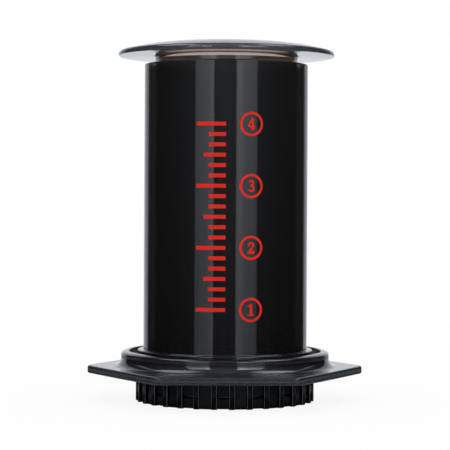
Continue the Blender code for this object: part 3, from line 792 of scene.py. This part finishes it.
# What is seen through the plate and collar is the lit table below them, and the plate's lower edge
# catches a ring of light from it.
under = add(tree, 'ShaderNodeMapRange', {'From Min': 0.09, 'From Max': 0.13, 'To Min': 1.2, 'To Max': 0.0},
            {'Value': reach}, interpolation_type='SMOOTHSTEP')
under = add(tree, 'ShaderNodeMath',
            links={0: under.outputs['Result'], 1: path.outputs['Is Transmission Ray']},
            operation='MULTIPLY')
edge_light = add(tree, 'ShaderNodeMath', {1: PLATE_REACH * MM, 2: 8 * MM}, {0: reach},
                 operation='COMPARE')
edge_light = add(tree, 'ShaderNodeMath', {1: 0.4}, {0: edge_light.outputs[0]}, operation='MULTIPLY')
under = add(tree, 'ShaderNodeMath', links={0: under.outputs[0], 1: edge_light.outputs[0]},
            operation='MAXIMUM')
glow = add(tree, 'ShaderNodeMath', links={0: front.outputs[0], 1: under.outputs[0]}, operation='MAXIMUM')
close_by = add(tree, 'ShaderNodeEmission', {'Color': linear('#eef6ff')}, {'Strength': glow.outputs[0]})
clear = add(tree, 'ShaderNodeBsdfTransparent')
mirrored = add(tree, 'ShaderNodeMixShader',
               links={0: beyond.outputs['Result'], 1: close_by.outputs[0], 2: clear.outputs[0]})
white = add(tree, 'ShaderNodeEmission', {'Color': (1, 1, 1, 1), 'Strength': 1})
lit = add(tree, 'ShaderNodeBsdfDiffuse', {'Color': linear('#fafafa')})
part_white = add(tree, 'ShaderNodeMath', {1: 0.9}, {0: path.outputs['Is Camera Ray']},
                 operation='MULTIPLY')
shown = add(tree, 'ShaderNodeMixShader',
            links={0: part_white.outputs[0], 1: lit.outputs[0], 2: white.outputs[0]})
gloss = add(tree, 'ShaderNodeMath',
            links={0: path.outputs['Is Glossy Ray'], 1: path.outputs['Is Transmission Ray']},
            operation='MAXIMUM')
either = add(tree, 'ShaderNodeMixShader',
             links={0: gloss.outputs[0], 1: shown.outputs[0], 2: mirrored.outputs[0]})
tree.links.new(either.outputs[0], tree.nodes['Material Output'].inputs['Surface'])
wear(floor, table)


# Light: an even white studio. What mirrors and clear plastic see of it is a bright backdrop behind the
# press, dim walls beside it, two upright softboxes in front and a strip high up on each side.
world = bpy.data.worlds.new('studio')
bpy.context.scene.world = world
world.use_nodes = True
tree = world.node_tree
tree.nodes.clear()
ways = add(tree, 'ShaderNodeTexCoord')
split = add(tree, 'ShaderNodeSeparateXYZ', links={0: ways.outputs['Generated']})
ahead = add(tree, 'ShaderNodeMath', {1: -1}, {0: split.outputs['Y']}, operation='MULTIPLY')
turn = add(tree, 'ShaderNodeMath', links={0: split.outputs['X'], 1: ahead.outputs[0]}, operation='ARCTAN2')
azimuth = add(tree, 'ShaderNodeMath', links={0: turn.outputs[0]}, operation='DEGREES').outputs[0]
either_way = add(tree, 'ShaderNodeMath', links={0: azimuth}, operation='ABSOLUTE').outputs[0]
rise = add(tree, 'ShaderNodeMath', links={0: split.outputs['Z']}, operation='ARCSINE')
height = add(tree, 'ShaderNodeMath', links={0: rise.outputs[0]}, operation='DEGREES').outputs[0]


def slope(source, *stops):
    """A brightness that follows an angle, through pairs of degrees and brightness."""
    (start, first), (end, last) = stops[:2]
    level = add(tree, 'ShaderNodeMapRange',
                {'From Min': start, 'From Max': end, 'To Min': first, 'To Max': last},
                {'Value': source}).outputs['Result']
    for (start, first), (end, last) in zip(stops[1:], stops[2:]):
        step = add(tree, 'ShaderNodeMapRange',
                   {'From Min': start, 'From Max': end, 'To Max': last - first}, {'Value': source})
        level = add(tree, 'ShaderNodeMath', links={0: level, 1: step.outputs['Result']},
                    operation='ADD').outputs[0]
    return level


def panel(around_press, across, edge, upward, fade, *levels):
    """A soft-edged panel of light, with its span round the press and its span upward in degrees. A span
    that ends past what an angle can reach, such as 400, has no edge there."""
    bright = None
    for source, (low, high), soft in ((around_press, across, edge), (height, upward, fade)):
        opens = add(tree, 'ShaderNodeMapRange', {'From Min': low - soft, 'From Max': low + soft},
                    {'Value': source}, interpolation_type='SMOOTHSTEP').outputs['Result']
        shuts = add(tree, 'ShaderNodeMapRange',
                    {'From Min': high - soft, 'From Max': high + soft, 'To Min': 1, 'To Max': 0},
                    {'Value': source}, interpolation_type='SMOOTHSTEP').outputs['Result']
        levels = (opens, shuts, *levels)
    for level in levels:
        bright = level if bright is None else add(tree, 'ShaderNodeMath', links={0: bright, 1: level},
                                                  operation='MULTIPLY').outputs[0]
    return bright


backdrop = panel(either_way, (142, 400), 1.2, (-100, 40), 14,
                 slope(either_way, (145, 0.5), (150, 0.6), (157, 0.7), (168, 0.95)))
box_up = slope(height, (-6, 0.6), (5, 1.2), (12, 2.0), (30, 5.0))
box_across = slope(either_way, (12, 1.3), (18, 1.5), (25, 1.05), (45, 0.75))
left_box = panel(azimuth, (-45, -18.5), 1, (-40, 36), 5, box_up, box_across)
right_box = panel(azimuth, (12.5, 42.5), 1.5, (-40, 36), 5, box_up, box_across)
walls = add(tree, 'ShaderNodeMath',
            links={0: slope(either_way, (10, 1.0), (52, 0.55), (75, 0.3), (110, 0.14)),
                   1: slope(height, (-6, 0.07), (5, 0.30), (40, 0.6))}, operation='MULTIPLY')
strips = add(tree, 'ShaderNodeMath', {1: 3.6}, {0: panel(either_way, (48, 130), 12, (50, 70), 5)},
             operation='MULTIPLY')
studio = walls.outputs[0]
for light in (backdrop, left_box, right_box, strips.outputs[0]):
    studio = add(tree, 'ShaderNodeMath', links={0: studio, 1: light}, operation='MAXIMUM').outputs[0]
mirrored = add(tree, 'ShaderNodeBackground', {'Color': linear('#f6faff')}, {'Strength': studio})
plain = add(tree, 'ShaderNodeBackground', {'Color': (1, 1, 1, 1), 'Strength': 1})
path = add(tree, 'ShaderNodeLightPath')
gloss = add(tree, 'ShaderNodeMath',
            links={0: path.outputs['Is Glossy Ray'], 1: path.outputs['Is Transmission Ray']},
            operation='MAXIMUM')
soft = add(tree, 'ShaderNodeMixShader',
           links={0: gloss.outputs[0], 1: plain.outputs[0], 2: mirrored.outputs[0]})
sky = add(tree, 'ShaderNodeMixShader',
          links={0: path.outputs['Is Camera Ray'], 1: soft.outputs[0], 2: plain.outputs[0]})
add(tree, 'ShaderNodeOutputWorld', links={'Surface': sky.outputs[0]})


# Camera: where the photograph was taken from, 715 mm in front and 82 mm above the table, level, with a
# long lens shifted down to the press.
eye = bpy.data.cameras.new('eye')
eye.sensor_width = 36
eye.lens = 142.1
eye.shift_x = -0.0018
eye.shift_y = -0.0656
camera = bpy.data.objects.new('eye', eye)
camera.location = (-0.0200, -0.7147, 0.0821)
camera.rotation_euler = (math.pi / 2, -0.0054, -0.028)
bpy.context.collection.objects.link(camera)
bpy.context.scene.camera = camera
bpy.context.scene.view_settings.view_transform = 'Standard'
